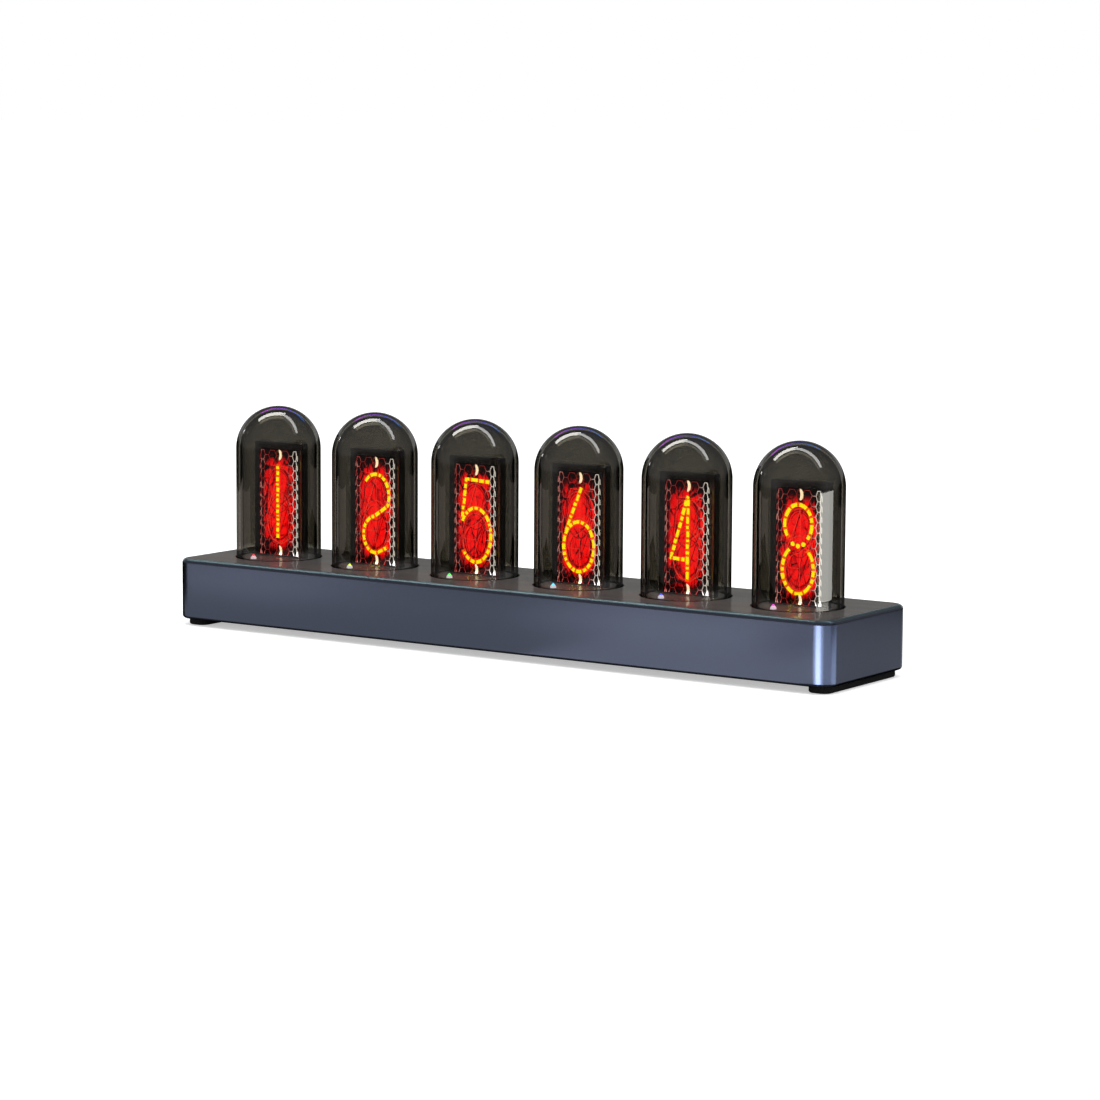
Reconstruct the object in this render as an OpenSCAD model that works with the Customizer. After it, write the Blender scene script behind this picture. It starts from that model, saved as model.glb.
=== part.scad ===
// Table clock with six flat numeral displays under glass bells on a long metal base.
// Millimetres, +Z up. The origin is under the middle of the base, on the table.
// +X runs along the clock to the viewer's right, and -Y is the front.

/* [Body] */
// Length of the metal base, end to end
body_l = 266; // [230:1:300]
// Depth of the metal base, front to back
body_d = 53; // [45:0.5:60]
// Height of the metal base without its feet
body_h = 21.4; // [18:0.2:28]
// Radius of the base's upright corners
corner_r = 5.9; // [5:0.1:9]
// Radius of the base's rounded top edge
edge_r = 1.6; // [0.3:0.1:2]
// Wall thickness of the base
wall_t = 3; // [2.6:0.1:3.4]
// Width of the metal rim that shows round the top plate
rim_w = 1.7; // [0.95:0.05:2.1]

/* [Top plate] */
// Thickness of the glossy top plate
plate_t = 3; // [2.6:0.1:3.4]
// Depth of the ring groove that each glass bell stands in
groove_depth = 1.6; // [1.2:0.1:2]
// Radial play between a glass bell and its groove
groove_gap = 0.5; // [0.35:0.05:0.7]

/* [Glass bells] */
// Distance from the end of the base to the middle of the end tube
end_margin = 26.25; // [20:0.25:32]
// Outer diameter of a glass bell
dome_d = 30; // [26:0.1:34]
// Wall thickness of the glass
dome_wall = 1.4; // [1:0.1:1.6]
// Height of the glass above the top plate
dome_rise = 53.7; // [46:0.1:62]
// How far the row of tubes stands in front of the middle of the base
tube_forward = 0.8; // [0:0.1:2]

/* [Displays] */
// Digits that the displays show, left to right, each from 0 to 9
shown_digits = [1, 2, 5, 6, 4, 8]; // [0:1:9]
// Distance from the side of a display to the inside of the glass
module_side_gap = 2.9; // [2.2:0.1:4]
// Distance from the top of a display to the top of the glass
module_headroom = 13.1; // [11:0.1:16]
// Depth of a display module
module_d = 3; // [2.8:0.1:3.6]
// Width of the black border beside the lit window
bezel_side = 2; // [1.2:0.1:3]
// Width of the black border above the lit window
bezel_top = 2.3; // [1.2:0.1:3]
// Height of the window's lower edge above the top plate
window_sill = 0.5; // [0.3:0.1:1]
// Distance from the side of the window to a numeral
digit_side = 2.7; // [1.5:0.1:3.5]
// Distance from the foot of the window to the foot of a numeral
digit_foot = 3.4; // [2:0.1:5]
// Distance from the top of a numeral to the top of the window
digit_head = 5.4; // [3:0.1:7]
// Width of a numeral's stroke
stroke_w = 0.9; // [0.6:0.1:1.4]
// How far the light guide before each display stands out of the top plate
guide_proud = 1.5; // [0:0.1:1.6]

/* [Feet] */
// Height of the rubber feet
foot_h = 2.4; // [1.5:0.1:5]
// Width of a foot along the clock
foot_w = 8.2; // [7:0.1:10]
// Distance from the front and back of the base to the foot
foot_side_inset = 3.2; // [2:0.1:5]
// Distance from the end of the base to the foot
foot_inset = 2; // [1.6:0.1:3]
// Radius of a foot's upright corners
foot_corner_r = 3.2; // [2:0.1:3.4]

/* [Bottom cover] */
// Thickness of the bottom cover
cover_t = 1.6; // [1.4:0.1:2]
// Width of the metal rim that shows round the bottom cover
cover_rim = 1.4; // [1.2:0.1:1.8]

/* [Circuit board] */
// Thickness of the main board
board_t = 1.6; // [1.2:0.1:2]
// Height of the spacers that carry the main board
spacer_h = 5; // [4.6:0.1:5.4]

/* [Buttons] */
// Diameter of a button's cap
button_d = 6; // [5:0.1:7]
// How far a button stands out of the back
button_proud = 0.8; // [0.6:0.1:1]
// How far a button travels when it is pressed
button_travel = 0.5; // [0.2:0.1:0.5]
// Distance between neighbouring buttons
button_pitch = 14; // [11:0.5:16]
// Distance from the end of the base to the nearest button
button_end = 34; // [28:1:40]
// Radial play between a cap and its hole
button_gap = 0.3; // [0.3:0.05:0.4]

/* [Power socket] */
// Place of the power socket along the back, from the middle
usb_x = 0; // [-30:1:20]
// Width of the power socket's metal shell
usb_w = 8.9; // [8.5:0.1:9.2]
// Height of the power socket's metal shell
usb_h = 3.2; // [3:0.1:3.4]

/* [Hidden] */
$fn = 64;
tube_count = len(shown_digits);
tube_pitch = (body_l - 2 * end_margin) / (tube_count - 1);
function numbered(name) = [for (i = [1:tube_count]) str(name, i)];
BUTTON_NAMES = ["power", "mode", "left", "right"];

// Heights of the main faces, from the table up
shell_z = foot_h;
cover_z = shell_z + cover_t;
board_z = cover_z + spacer_h;
board_top = board_z + board_t;
plate_top = shell_z + body_h;
plate_z = plate_top - plate_t;
cut = 1; // overrun of a cut past the face that it opens
slip = 0.15; // play round a part that drops into a rebate
rim_land = 0.1; // flat left on the rim beside its rounded edge
top_edge_r = min(edge_r, rim_w - rim_land);

// Tubes
tube_y = -tube_forward;
dome_r = dome_d / 2;
dome_inner_r = dome_r - dome_wall;
groove_outer_r = dome_r + groove_gap;
groove_inner_r = dome_inner_r - groove_gap;
groove_floor = plate_top - groove_depth;
seal_t = 0.6;
seal_inset = 0.2; // from the groove's walls to the seal
dome_foot = groove_floor + seal_t;
dome_shoulder = plate_top + dome_rise - dome_r;
function tube_x(i) = (i - (tube_count + 1) / 2) * tube_pitch;
function gap_x(k) = k * tube_pitch; // middle of the k-th gap between tubes, from the centre

// Display modules: the front face lies in the tube's middle plane
module_w = 2 * (dome_inner_r - module_side_gap);
module_rise = dome_rise - module_headroom;
module_top = plate_top + module_rise;
module_tail = 3.6; // of the frame below the top plate
module_foot = plate_z - module_tail;
module_play = 0.3; // round a module in its slot
lip_t = 0.4; // front lip of the frame, which the screen lies behind
side_t = 0.7; // side and top walls of the frame
cell_t = 1.3;
cell_play = 0.1;
cell_w = module_w - 2 * (side_t + cell_play);
cell_lift = 2.8; // from the foot of the frame to the screen
cell_top = module_top - side_t - cell_play;
cell_h = cell_top - module_foot - cell_lift;
pcb_t = 1;
pcb_front = lip_t + cell_t;
tongue_w = 14.4;
window_w = module_w - 2 * bezel_side;
window_h = module_rise - window_sill - bezel_top;
window_z = plate_top + window_sill;
digit_w = window_w - 2 * digit_side;
digit_h = window_h - digit_foot - digit_head;
digit_z = window_z + digit_foot;
relief = 0.2; // a numeral's height on its screen
driver_w = 8;
driver_h = 5;
driver_t = 1;
driver_drop = 12; // from the top of the module to its driver chip
plug_w = 13;
plug_h = 3.4;
plug_t = 1.2;
plug_lift = 7.2; // from the top plate to the ribbon plug

// Sockets for the display modules
socket_w = 16;
socket_d = 4.4;
socket_gap = 0.6; // from a socket up to the frame of its module
socket_h = module_foot - socket_gap - board_top;
socket_floor = 2;
socket_play = 0.05; // beside the tongue of a display board
tongue_lift = 0.3;
tongue_foot = board_top + socket_floor + tongue_lift;
tongue_play = 0.2; // at the ends of the tongue

// Coloured lights and their guides
led_side = 5;
led_h = 1.5;
led_lens_r = 2;
led_lens_depth = 0.3;
guide_r = 1;
guide_play = 0.05;
guide_collar_r = 1.8;
guide_collar_h = 1;
guide_lift = 0.3; // from the light to its guide
guide_land = 0.85; // of the plate between a guide and the groove
guide_dx = -2.8;
guide_dy = -sqrt(pow(groove_inner_r - guide_land - guide_r, 2) - pow(guide_dx, 2));

// Main board and its screws
board_end_gap = 2;
board_side_gap = 3.5;
board_l = body_l - 2 * (wall_t + board_end_gap);
board_d = body_d - 2 * (wall_t + board_side_gap);
board_corner_r = 2;
spacer_r = 2.6;
spacer_end = 12; // from the end of the board to a spacer
spacer_side = 6; // from the side of the board to a spacer at its corner
spacer_mid_side = 9; // from the back of the board to a spacer between tubes
screw_r = 1.2;
screw_play = 0.05;
head_r = 2.2;
head_h = 1.5;
drive_r = 1;
drive_depth = 0.8;
screw_l = 3.6; // thread below a head
spacers = [
    for (sx = [-1, 1], sy = [-1, 1]) [sx * (board_l / 2 - spacer_end), sy * (board_d / 2 - spacer_side)],
    for (sx = [-1, 1]) [gap_x(sx), board_d / 2 - spacer_mid_side]
];

// Bosses and screws of the bottom cover
boss_r = 3.2;
boss_drop = 0.6; // from the main board down to a boss
boss_h = spacer_h - boss_drop;
boss_cap = 0.8; // metal left over the screw in a boss
boss_end = 19; // from the end of the base to a boss
sink_r = 2.4;
sink_depth = 1.2;
cover_screw_l = cover_t + boss_h - boss_cap;
screw_room = 0.3; // left past the end of a screw
bosses = [
    for (x = [-body_l / 2 + boss_end, 0, body_l / 2 - boss_end], sy = [-1, 1])
        [x, sy * (body_d / 2 - wall_t - boss_r)]
];

// Buttons and their switches
button_r = button_d / 2;
button_count = len(BUTTON_NAMES);
button_x = [for (k = [1:button_count]) body_l / 2 - button_end - (button_count - k) * button_pitch];
flange_w = 0.8;
flange_r = button_r + flange_w;
flange_t = 1;
flange_gap = 0.1; // from the flange to the wall at rest
wall_inside = body_d / 2 - wall_t;
cap_inner = wall_inside - flange_gap - flange_t;
cap_round_r = 0.4;
switch_w = 6;
switch_d = 4.6;
switch_h = 5.2;
switch_setback = 0.2; // from the edge of the board
switch_front = board_d / 2 - switch_setback;
button_z = board_top + switch_h / 2;
plunger_r = 1.2;
plunger_play = 0.08;
plunger_in = 2.4; // length of the plunger inside its switch at rest
plunger_room = 0.3; // left behind the plunger at full travel

// Power socket
usb_wall = 0.3;
usb_depth = 7.3;
usb_pocket = 6.2;
usb_tongue_w = 6.6;
usb_tongue_t = 0.7;
usb_tongue_l = 4.5;
port_play = 0.25;
port_rim = 1.6; // metal that the port's sunk surround reaches past the opening
port_sink = 1.6;
usb_z = board_top + usb_h / 2;
usb_front = body_d / 2 - port_sink;

// Parts on the main board
board_edge = 2; // from the front of the board to the parts along it
coin_r = 6.25;
coin_t = 2;
coin_play = 0.1;
holder_wall = 1.3;
holder_floor = 0.8;
holder_h = 2.4;
coin_y = board_edge + coin_r + holder_wall - board_d / 2;
control_base = [13.2, 16.6, 0.8];
control_can = [12.2, 11.6, 1.6];
can_edge = 0.5; // the can lies near the front of its module
control_y = board_edge + control_base[1] / 2 - board_d / 2;
buzzer_r = 6;
buzzer_h = 6.4;
buzzer_y = board_edge + buzzer_r - board_d / 2;
buzzer_port_r = 1;
buzzer_port_depth = 1.5;
chip_size = [6.5, 4.4, 1.1];
chip_setback = 11; // from the back of the board to the middle of a chip
chip_y = board_d / 2 - chip_setback;
coil_size = [6, 6, 3];
coil_y = board_edge + coil_size[1] / 2 - board_d / 2;
cap_r = 2.5;
cap_h = 5.4;
cap_edge = 0.1; // from the back of the board to the capacitors

// Strokes of the numerals: points [x, z], or arcs [x, z, rx, rz, from, to], as shares of the
// numeral's width and height. A stroke that is one whole turn is a closed loop.
stroke_shares = [
    [[[0, 0.5, 0.47, 0.48, 0, 360]]],
    [[[-0.05, 0.09], [-0.05, 1]]],
    [[[0.02, 0.72, 0.49, 0.25, 140, -30], [0, 0.22, 0.43, 0.22, 95, 235], [0.44, 0.04]]],
    [[[0, 0.75, 0.44, 0.23, 150, -80]], [[0, 0.27, 0.49, 0.25, 85, -150]]],
    [[[0.03, 1], [-0.52, 0.28], [0, 0.27]], [[0.03, 0.96], [0.03, 0.02]]],
    [[[0.5, 0.98], [-0.32, 1], [-0.46, 0.52]], [[0.02, 0.34, 0.54, 0.32, 118, -145]]],
    [[[0.07, 1], [-0.46, 0.47]], [[0, 0.31, 0.52, 0.29, 0, 360]]],
    [[[-0.45, 1], [0.45, 1], [-0.1, 0.03]]],
    [[[-0.03, 0.77, 0.43, 0.22, 0, 360]], [[-0.03, 0.28, 0.5, 0.28, 0, 360]]],
    [[[-0.07, 0.02], [0.46, 0.53]], [[0, 0.69, 0.52, 0.29, 0, 360]]]
];
arc_step = 12; // degrees between points of an arc

// A rounded rectangle, centred
module plan(l, d, r) {
    square([l - 2 * r, d], center = true);
    square([l, d - 2 * r], center = true);
    for (sx = [-1, 1], sy = [-1, 1])
        translate([sx * (l / 2 - r), sy * (d / 2 - r)])
            circle(r);
}

// The same outline drawn in by an inset on every side, and raised
module slab(inset, h) {
    linear_extrude(h)
        plan(body_l - 2 * inset, body_d - 2 * inset, corner_r - inset);
}

// The base's outer form with its rounded top edge
module body_form() {
    slab(0, body_h - top_edge_r);
    slab(top_edge_r, body_h);
    translate([0, 0, body_h - top_edge_r]) {
        for (sy = [-1, 1])
            translate([0, sy * (body_d / 2 - top_edge_r), 0])
                rotate([0, 90, 0])
                    cylinder(h = body_l - 2 * corner_r, r = top_edge_r, center = true);
        for (sx = [-1, 1])
            translate([sx * (body_l / 2 - top_edge_r), 0, 0])
                rotate([90, 0, 0])
                    cylinder(h = body_d - 2 * corner_r, r = top_edge_r, center = true);
        for (sx = [-1, 1], sy = [-1, 1])
            translate([sx * (body_l / 2 - corner_r), sy * (body_d / 2 - corner_r), 0])
                rotate_extrude()
                    intersection() {
                        translate([corner_r - top_edge_r, 0])
                            circle(top_edge_r);
                        translate([0, -top_edge_r])
                            square([corner_r, 2 * top_edge_r]);
                    }
    }
}

// A round-ended slot lying along X, cut along Y
module stadium(w, h, depth) {
    rotate([-90, 0, 0])
        linear_extrude(depth) {
            square([w - h, h], center = true);
            for (s = [-1, 1])
                translate([s * (w - h) / 2, 0])
                    circle(h / 2);
        }
}

module base_shell() {
    color([0.32, 0.36, 0.43])
        difference() {
            union() {
                difference() {
                    translate([0, 0, shell_z])
                        body_form();
                    translate([0, 0, shell_z - cut])
                        slab(wall_t, body_h + 2 * cut);
                    translate([0, 0, plate_z])
                        slab(rim_w, plate_t + cut);
                    translate([0, 0, shell_z - cut])
                        slab(cover_rim, cover_t + cut);
                }
                for (p = bosses)
                    translate([p[0], p[1], cover_z]) {
                        cylinder(h = boss_h, r = boss_r);
                        translate([-boss_r, p[1] > 0 ? 0 : -boss_r - wall_t / 2, 0])
                            cube([2 * boss_r, boss_r + wall_t / 2, boss_h]);
                    }
            }
            for (p = bosses)
                translate([p[0], p[1], shell_z])
                    cylinder(h = cover_screw_l + screw_room, r = screw_r + screw_play);
            for (x = button_x)
                translate([x, wall_inside - cut, button_z])
                    rotate([-90, 0, 0])
                        cylinder(h = wall_t + 2 * cut, r = button_r + button_gap);
            translate([usb_x, wall_inside - cut, usb_z])
                stadium(usb_w + 2 * port_play, usb_h + 2 * port_play, wall_t + 2 * cut);
            translate([usb_x, usb_front, usb_z])
                stadium(usb_w + 2 * port_rim, usb_h + 2 * port_rim, port_sink + cut);
        }
}

module top_plate() {
    color([0.12, 0.12, 0.12])
        difference() {
            translate([0, 0, plate_z])
                slab(rim_w + slip, plate_t);
            for (i = [1:tube_count])
                translate([tube_x(i), tube_y, 0]) {
                    translate([0, 0, groove_floor])
                        difference() {
                            cylinder(h = groove_depth + cut, r = groove_outer_r);
                            translate([0, 0, -cut])
                                cylinder(h = groove_depth + 3 * cut, r = groove_inner_r);
                        }
                    translate([-module_w / 2 - module_play, -module_play, plate_z - cut])
                        cube([module_w + 2 * module_play, module_d + 2 * module_play, plate_t + 2 * cut]);
                    translate([guide_dx, guide_dy, plate_z - cut])
                        cylinder(h = plate_t + 2 * cut, r = guide_r + guide_play);
                }
        }
}

module bottom_cover() {
    color([0.16, 0.17, 0.19])
        difference() {
            union() {
                translate([0, 0, shell_z])
                    slab(cover_rim + slip, cover_t);
                for (p = spacers)
                    translate([p[0], p[1], shell_z])
                        cylinder(h = board_z - shell_z, r = spacer_r);
            }
            for (p = spacers)
                translate([p[0], p[1], board_top - screw_l - screw_play])
                    cylinder(h = screw_l + cut, r = screw_r + screw_play);
            for (p = bosses)
                translate([p[0], p[1], shell_z]) {
                    cylinder(h = sink_depth, r1 = sink_r + screw_play, r2 = screw_r + screw_play);
                    translate([0, 0, -cut])
                        cylinder(h = cover_t + 2 * cut, r = screw_r + screw_play);
                }
        }
}

// A hexagonal driver recess, opening towards +Z at height 0
module drive_recess() {
    translate([0, 0, -drive_depth])
        cylinder(h = drive_depth + cut, r = drive_r, $fn = 6);
}

module bottom_screws() {
    color("silver")
        for (p = bosses)
            translate([p[0], p[1], shell_z])
                mirror([0, 0, 1])
                    difference() {
                        union() {
                            translate([0, 0, -sink_depth])
                                cylinder(h = sink_depth, r1 = screw_r, r2 = sink_r);
                            translate([0, 0, -cover_screw_l])
                                cylinder(h = cover_screw_l - sink_depth, r = screw_r);
                        }
                        drive_recess();
                    }
}

module foot(side) {
    color([0.06, 0.06, 0.07])
        translate([side * (body_l / 2 - foot_inset - foot_w / 2), 0, 0])
            linear_extrude(foot_h)
                plan(foot_w, body_d - 2 * foot_side_inset, foot_corner_r);
}

module main_board() {
    color([0.05, 0.25, 0.13])
        translate([0, 0, board_z])
            difference() {
                linear_extrude(board_t)
                    plan(board_l, board_d, board_corner_r);
                for (p = spacers)
                    translate([p[0], p[1], -cut])
                        cylinder(h = board_t + 2 * cut, r = screw_r + screw_play);
            }
}

module board_screws() {
    color("silver")
        for (p = spacers)
            translate([p[0], p[1], board_top])
                difference() {
                    union() {
                        cylinder(h = head_h, r = head_r);
                        translate([0, 0, -screw_l])
                            cylinder(h = screw_l, r = screw_r);
                    }
                    translate([0, 0, head_h])
                        drive_recess();
                }
}

// A block on the main board, centred over a point
module on_board(x, y, size) {
    translate([x - size[0] / 2, y - size[1] / 2, board_top])
        cube(size);
}

module control_module() {
    color([0.6, 0.6, 0.62]) {
        on_board(gap_x(1), control_y, control_base);
        translate([0, can_edge - (control_base[1] - control_can[1]) / 2, control_base[2]])
            on_board(gap_x(1), control_y, control_can);
    }
}

module usb_socket() {
    color([0.75, 0.76, 0.78])
        translate([usb_x, usb_front, usb_z])
            mirror([0, 1, 0]) {
                difference() {
                    stadium(usb_w, usb_h, usb_depth);
                    translate([0, -cut, 0])
                        stadium(usb_w - 2 * usb_wall, usb_h - 2 * usb_wall, usb_pocket + cut);
                }
                translate([-usb_tongue_w / 2, usb_pocket - usb_tongue_l, -usb_tongue_t / 2])
                    cube([usb_tongue_w, usb_tongue_l, usb_tongue_t]);
            }
}

module coin_cell_holder() {
    color([0.1, 0.1, 0.1])
        translate([0, coin_y, board_top])
            difference() {
                cylinder(h = holder_h, r = coin_r + holder_wall);
                translate([0, 0, holder_floor])
                    cylinder(h = holder_h, r = coin_r + coin_play);
            }
}

module coin_cell() {
    color([0.8, 0.8, 0.8])
        translate([0, coin_y, board_top + holder_floor])
            cylinder(h = coin_t, r = coin_r);
}

module buzzer() {
    color([0.08, 0.08, 0.08])
        translate([gap_x(-1), buzzer_y, board_top])
            difference() {
                cylinder(h = buzzer_h, r = buzzer_r);
                translate([0, 0, buzzer_h - buzzer_port_depth])
                    cylinder(h = buzzer_port_depth + cut, r = buzzer_port_r);
            }
}

module board_chips() {
    color([0.1, 0.1, 0.11]) {
        for (x = [gap_x(-2), gap_x(0), gap_x(2)])
            on_board(x, chip_y, chip_size);
        for (x = [gap_x(-2), gap_x(2)])
            on_board(x, coil_y, coil_size);
        for (s = [-1, 1])
            translate([usb_x + s * (usb_w + cap_r), board_d / 2 - cap_r - cap_edge, board_top])
                cylinder(h = cap_h, r = cap_r);
    }
}

module display_sockets() {
    color([0.09, 0.09, 0.1])
        for (i = [1:tube_count])
            translate([tube_x(i), tube_y + pcb_front + pcb_t / 2, board_top])
                difference() {
                    translate([-socket_w / 2, -socket_d / 2, 0])
                        cube([socket_w, socket_d, socket_h]);
                    translate([-tongue_w / 2 - tongue_play, -pcb_t / 2 - socket_play, socket_floor])
                        cube([tongue_w + 2 * tongue_play, pcb_t + 2 * socket_play, socket_h]);
                }
}

module rgb_leds() {
    color([0.9, 0.9, 0.86])
        for (i = [1:tube_count])
            translate([tube_x(i) + guide_dx, tube_y + guide_dy, board_top])
                difference() {
                    translate([-led_side / 2, -led_side / 2, 0])
                        cube([led_side, led_side, led_h]);
                    translate([0, 0, led_h - led_lens_depth])
                        cylinder(h = led_lens_depth + cut, r = led_lens_r);
                }
}

module light_guides() {
    guide_foot = board_top + led_h + guide_lift;
    color([0.85, 0.87, 0.9])
        for (i = [1:tube_count])
            translate([tube_x(i) + guide_dx, tube_y + guide_dy, 0]) {
                translate([0, 0, guide_foot])
                    cylinder(h = plate_top + guide_proud - guide_foot, r = guide_r);
                translate([0, 0, plate_z - guide_collar_h])
                    cylinder(h = guide_collar_h, r = guide_collar_r);
            }
}

module seal_rings() {
    color([0.03, 0.03, 0.03])
        for (i = [1:tube_count])
            translate([tube_x(i), tube_y, groove_floor])
                difference() {
                    cylinder(h = seal_t, r = groove_outer_r - seal_inset);
                    translate([0, 0, -cut])
                        cylinder(h = seal_t + 2 * cut, r = groove_inner_r + seal_inset);
                }
}

module switch_housings() {
    bore_depth = plunger_in + button_travel + plunger_room;
    color([0.13, 0.13, 0.14])
        for (x = button_x)
            difference() {
                translate([x - switch_w / 2, switch_front - switch_d, board_top])
                    cube([switch_w, switch_d, switch_h]);
                translate([x, switch_front - bore_depth, button_z])
                    rotate([-90, 0, 0])
                        cylinder(h = bore_depth + cut, r = plunger_r + plunger_play);
            }
}

// Cap of the k-th button: a flange inside the wall and a neck with a rounded edge through it
module button_cap(k) {
    neck_end = body_d / 2 + button_proud;
    color([0.22, 0.24, 0.28])
        translate([button_x[k], cap_inner, button_z])
            rotate([-90, 0, 0])
                rotate_extrude() {
                    square([flange_r, flange_t]);
                    square([button_r, neck_end - cap_inner - cap_round_r]);
                    square([button_r - cap_round_r, neck_end - cap_inner]);
                    translate([button_r - cap_round_r, neck_end - cap_inner - cap_round_r])
                        circle(cap_round_r);
                }
}

module switch_plunger(k) {
    color([0.7, 0.15, 0.12])
        translate([button_x[k], switch_front - plunger_in, button_z])
            rotate([-90, 0, 0])
                cylinder(h = cap_inner - switch_front + plunger_in, r = plunger_r);
}

// Half of a bell's section: a straight wall under a half-round top
module bell_section(r, foot) {
    translate([0, foot])
        square([r, dome_shoulder - foot]);
    intersection() {
        translate([0, dome_shoulder])
            circle(r);
        translate([0, dome_shoulder - cut])
            square([r, r + cut]);
    }
}

module glass_dome(i) {
    color([0.4, 0.38, 0.34, 0.35])
        translate([tube_x(i), tube_y, 0])
            rotate_extrude()
                difference() {
                    bell_section(dome_r, dome_foot);
                    bell_section(dome_inner_r, dome_foot - cut);
                }
}

// Places a piece of the i-th display module: x from the tube's axis, y back from the front face
module in_module(i, x, y, z) {
    translate([tube_x(i) + x, tube_y + y, z])
        children();
}

module display_frame(i) {
    color([0.05, 0.05, 0.06])
        difference() {
            in_module(i, -module_w / 2, 0, module_foot)
                cube([module_w, module_d, module_top - module_foot]);
            in_module(i, -module_w / 2 + side_t, lip_t, module_foot - cut)
                cube([module_w - 2 * side_t, module_d, module_top - side_t - module_foot + cut]);
            in_module(i, -window_w / 2, -cut, window_z)
                cube([window_w, lip_t + 2 * cut, window_h]);
        }
}

module lcd_cell(i) {
    color([0.45, 0.05, 0.04])
        in_module(i, -cell_w / 2, lip_t, cell_top - cell_h)
            cube([cell_w, cell_t, cell_h]);
}

module display_board(i) {
    color([0.05, 0.25, 0.13]) {
        in_module(i, -cell_w / 2, pcb_front, module_foot)
            cube([cell_w, pcb_t, cell_top - module_foot]);
        in_module(i, -tongue_w / 2, pcb_front, tongue_foot)
            cube([tongue_w, pcb_t, module_foot - tongue_foot]);
        in_module(i, -driver_w / 2, pcb_front + pcb_t, module_top - driver_drop - driver_h)
            cube([driver_w, driver_t, driver_h]);
        in_module(i, -plug_w / 2, pcb_front + pcb_t, plate_top + plug_lift)
            cube([plug_w, plug_t, plug_h]);
    }
}

function ellipse_point(c, rx, rz, a) = [c[0] + rx * cos(a), c[1] + rz * sin(a)];

// Points of one piece of a stroke, in millimetres
function stroke_points(piece) =
    len(piece) == 2
    ? [[piece[0] * digit_w, piece[1] * digit_h]]
    : let (n = ceil(abs(piece[5] - piece[4]) / arc_step))
        [for (k = [0:n]) ellipse_point([piece[0] * digit_w, piece[1] * digit_h],
            piece[2] * digit_w, piece[3] * digit_h, piece[4] + (piece[5] - piece[4]) * k / n)];

function unit(v) = v / norm(v);

// The direction square to a path at its k-th point, lengthened so that a bend keeps its width
function side(path, k) =
    let (n = len(path) - 1)
    let (a = unit(path[max(k, 1)] - path[max(k, 1) - 1]))
    let (b = unit(path[min(k, n - 1) + 1] - path[min(k, n - 1)]))
    let (m = unit(a + b))
    [-m[1], m[0]] / (m * b);

module stroke_ribbon(path) {
    n = len(path) - 1;
    polygon(concat(
        [for (k = [0:n]) path[k] + side(path, k) * stroke_w / 2],
        [for (k = [n:-1:0]) path[k] - side(path, k) * stroke_w / 2]
    ));
}

module stroke_loop(piece) {
    centre = [piece[0] * digit_w, piece[1] * digit_h];
    difference() {
        polygon([for (a = [0:arc_step:359]) ellipse_point(centre,
            piece[2] * digit_w + stroke_w / 2, piece[3] * digit_h + stroke_w / 2, a)]);
        polygon([for (a = [0:arc_step:359]) ellipse_point(centre,
            piece[2] * digit_w - stroke_w / 2, piece[3] * digit_h - stroke_w / 2, a)]);
    }
}

function is_loop(stroke) = len(stroke) == 1 && len(stroke[0]) == 6 && abs(stroke[0][5] - stroke[0][4]) == 360;

module numeral(i) {
    color([1, 0.85, 0])
        in_module(i, 0, lip_t, digit_z)
            rotate([90, 0, 0])
                for (stroke = stroke_shares[shown_digits[i - 1]])
                    linear_extrude(relief)
                        if (is_loop(stroke))
                            stroke_loop(stroke[0]);
                        else
                            stroke_ribbon([for (piece = stroke) each stroke_points(piece)]);
}

base_shell();
top_plate();
bottom_cover();
bottom_screws();
foot(-1);  // foot_left
foot(1);  // foot_right
main_board();
board_screws();
control_module();
usb_socket();
coin_cell_holder();
coin_cell();
buzzer();
board_chips();
display_sockets();
rgb_leds();
light_guides();
seal_rings();
switch_housings();
for (k = [0:button_count - 1]) {
    button_cap(k);
    switch_plunger(k);
}
for (i = [1:tube_count]) {
    glass_dome(i);
    display_frame(i);
    lcd_cell(i);
    display_board(i);
    numeral(i);
}
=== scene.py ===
"""Dresses the table clock: metal, glass and boards, the lit pictures on its screens, and the view."""

import math
import random

import bmesh
import bpy
from mathutils import Matrix, Vector


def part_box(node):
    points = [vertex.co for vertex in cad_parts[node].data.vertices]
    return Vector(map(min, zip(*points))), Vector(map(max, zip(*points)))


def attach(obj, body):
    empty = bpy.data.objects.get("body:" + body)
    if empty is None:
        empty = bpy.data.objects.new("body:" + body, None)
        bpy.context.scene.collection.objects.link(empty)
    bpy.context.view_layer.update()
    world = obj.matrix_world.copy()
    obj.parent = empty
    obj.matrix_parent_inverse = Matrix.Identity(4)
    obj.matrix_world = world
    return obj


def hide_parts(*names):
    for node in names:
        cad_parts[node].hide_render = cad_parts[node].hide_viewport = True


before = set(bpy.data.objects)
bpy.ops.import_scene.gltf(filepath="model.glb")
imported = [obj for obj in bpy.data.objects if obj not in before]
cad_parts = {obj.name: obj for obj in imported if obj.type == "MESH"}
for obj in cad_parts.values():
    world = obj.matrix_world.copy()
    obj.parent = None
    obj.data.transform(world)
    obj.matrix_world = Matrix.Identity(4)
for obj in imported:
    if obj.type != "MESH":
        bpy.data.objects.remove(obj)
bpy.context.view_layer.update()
mm = 0.001

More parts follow.
